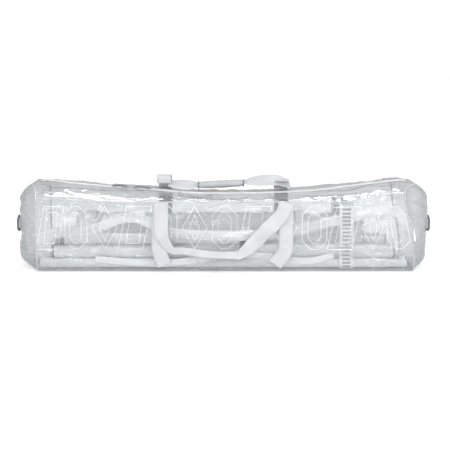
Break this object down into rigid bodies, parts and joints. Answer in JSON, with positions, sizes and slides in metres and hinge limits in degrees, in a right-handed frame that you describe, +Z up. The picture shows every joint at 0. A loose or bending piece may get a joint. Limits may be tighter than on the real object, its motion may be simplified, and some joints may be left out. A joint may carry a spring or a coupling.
{
  "type": "clear carry bag with portable net",
  "caption": "Long clear vinyl zip bag with white webbing handles, packed with a rolled net, its tube frame, feet and straps.",
  "frame": {"origin": "middle of the base's underside", "axes": "+X along the bag towards its right end as seen from the front, +Y from the front face to the back face, +Z up"},
  "size_m": [1.1124, 0.2522, 0.2377],
  "materials": {
    "clear_film": "clear soft PVC film, glossy, wrinkled",
    "binding": "translucent white PVC edge binding",
    "webbing": "white polypropylene webbing",
    "grip_wrap": "white padded wrap",
    "zip_tape": "white woven zip tape",
    "zip_teeth": "white coil",
    "slider_metal": "die-cast, satin",
    "pull_plastic": "grey moulded",
    "ring_plastic": "dark moulded",
    "label_weave": "woven tape, ribbed",
    "board": "white board",
    "tube_paint": "light grey powder coat over steel",
    "cap_plastic": "grey moulded",
    "knob_plastic": "dark grey moulded",
    "button_steel": "plain",
    "net_mesh": "knotless light grey mesh",
    "net_tape": "white tape",
    "rod_fibre": "white fibreglass",
    "ladder_webbing": "woven ladder pattern, light edges"
  },
  "bodies": {
    "bag": {"back_panel": "clear_film", "base_board": "board", "base_panel": "clear_film", "body_webbing_back": "webbing", "body_webbing_front": "webbing", "bundle_strap": "ladder_webbing", "crossbar_1": "tube_paint", "crossbar_2": "tube_paint", "crossbar_3": "tube_paint", "crossbar_4": "tube_paint", "end_bindings": "binding", "end_panel_left": "clear_film", "end_panel_right": "clear_film", "foot_back": "tube_paint", "foot_front": "tube_paint", "foot_sleeves": "cap_plastic", "front_panel": "clear_film", "net_headband": "net_tape", "net_rod": "rod_fibre", "net_roll": "net_mesh", "net_tie": "net_tape", "seam_binding_back": "binding", "seam_binding_front": "binding", "shoulder_strap": "webbing", "tab_left": "webbing", "tab_right": "webbing", "tension_strap": "webbing", "top_left": "clear_film", "top_right": "clear_film", "upright_back": "tube_paint", "upright_caps": "cap_plastic", "upright_front": "tube_paint", "zip_stops": "zip_teeth", "zip_tape_left": "zip_tape", "zip_tape_right": "zip_tape", "zip_teeth_left": "zip_teeth", "zip_teeth_right": "zip_teeth"},
    "flap_front": {"flap_front": "clear_film", "zip_tape_front": "zip_tape", "zip_teeth_front": "zip_teeth", "label": "label_weave"},
    "flap_back": {"flap_back": "clear_film", "zip_tape_back": "zip_tape", "zip_teeth_back": "zip_teeth"},
    "handle_front": {"handle_front": "webbing"},
    "handle_back": {"handle_back": "webbing", "grip": "grip_wrap"},
    "slider_left": {"slider_left": "slider_metal"},
    "slider_right": {"slider_right": "slider_metal"},
    "pull_left": {"pull_left": "pull_plastic"},
    "pull_right": {"pull_right": "pull_plastic"},
    "ring_left": {"ring_left": "ring_plastic"},
    "ring_right": {"ring_right": "ring_plastic"},
    "knob_front": {"knob_front": "knob_plastic"},
    "knob_back": {"knob_back": "knob_plastic"},
    "snap_button_1": {"snap_button_1": "button_steel"},
    "snap_button_2": {"snap_button_2": "button_steel"},
    "snap_button_3": {"snap_button_3": "button_steel"},
    "snap_button_4": {"snap_button_4": "button_steel"}
  },
  "joints": [
    {"name": "flap_front_open", "type": "hinge", "parent": "bag", "child": "flap_front", "pos_m": [0, -0.12, 0.184], "axis": [1, 0, 0], "range_deg": [0, 50]},
    {"name": "flap_back_open", "type": "hinge", "parent": "bag", "child": "flap_back", "pos_m": [0, 0.12, 0.184], "axis": [-1, 0, 0], "range_deg": [0, 50]},
    {"name": "handle_front_lift", "type": "hinge", "parent": "bag", "child": "handle_front", "pos_m": [0, -0.1263, 0.184], "axis": [1, 0, 0], "range_deg": [-170, 0]},
    {"name": "handle_back_lift", "type": "hinge", "parent": "flap_back", "child": "handle_back", "pos_m": [0, 0.122, 0.1885], "axis": [1, 0, 0], "range_deg": [-160, 0]},
    {"name": "slider_left_run", "type": "hinge", "parent": "bag", "child": "slider_left", "pos_m": [0, 0, 3.89467], "axis": [0, 1, 0], "range_deg": [0, 3.02]},
    {"name": "slider_right_run", "type": "hinge", "parent": "bag", "child": "slider_right", "pos_m": [0, 0, 3.89467], "axis": [0, -1, 0], "range_deg": [0, 10.78]},
    {"name": "pull_left_turn", "type": "hinge", "parent": "slider_left", "child": "pull_left", "pos_m": [-0.26157, 0, 0.21338], "axis": [0, -1, 0], "range_deg": [-85, 0]},
    {"name": "pull_right_turn", "type": "hinge", "parent": "slider_right", "child": "pull_right", "pos_m": [-0.23761, 0, 0.21176], "axis": [0, 1, 0], "range_deg": [-85, 0]},
    {"name": "ring_left_swing", "type": "hinge", "parent": "bag", "child": "ring_left", "pos_m": [-0.5504, 0, 0.112], "axis": [0, 0, -1], "range_deg": [0, 180]},
    {"name": "ring_right_swing", "type": "hinge", "parent": "bag", "child": "ring_right", "pos_m": [0.5504, 0, 0.112], "axis": [0, 0, 1], "range_deg": [0, 180]},
    {"name": "knob_front_turn", "type": "hinge", "parent": "bag", "child": "knob_front", "pos_m": [-0.19, -0.084, 0.1], "axis": [0, 0, 1], "continuous": true},
    {"name": "knob_back_turn", "type": "hinge", "parent": "bag", "child": "knob_back", "pos_m": [0.06, 0.084, 0.1], "axis": [0, 0, 1], "continuous": true},
    {"name": "snap_button_1_press", "type": "slide", "parent": "bag", "child": "snap_button_1", "axis": [0, 0, 1], "range_m": [-0.0045, 0], "stiffness_N_per_m": 700},
    {"name": "snap_button_2_press", "type": "slide", "parent": "bag", "child": "snap_button_2", "axis": [0, 0, 1], "range_m": [-0.0045, 0], "stiffness_N_per_m": 700},
    {"name": "snap_button_3_press", "type": "slide", "parent": "bag", "child": "snap_button_3", "axis": [0, 0, 1], "range_m": [-0.0045, 0], "stiffness_N_per_m": 700},
    {"name": "snap_button_4_press", "type": "slide", "parent": "bag", "child": "snap_button_4", "axis": [0, 0, 1], "range_m": [-0.0045, 0], "stiffness_N_per_m": 700}
  ]
}
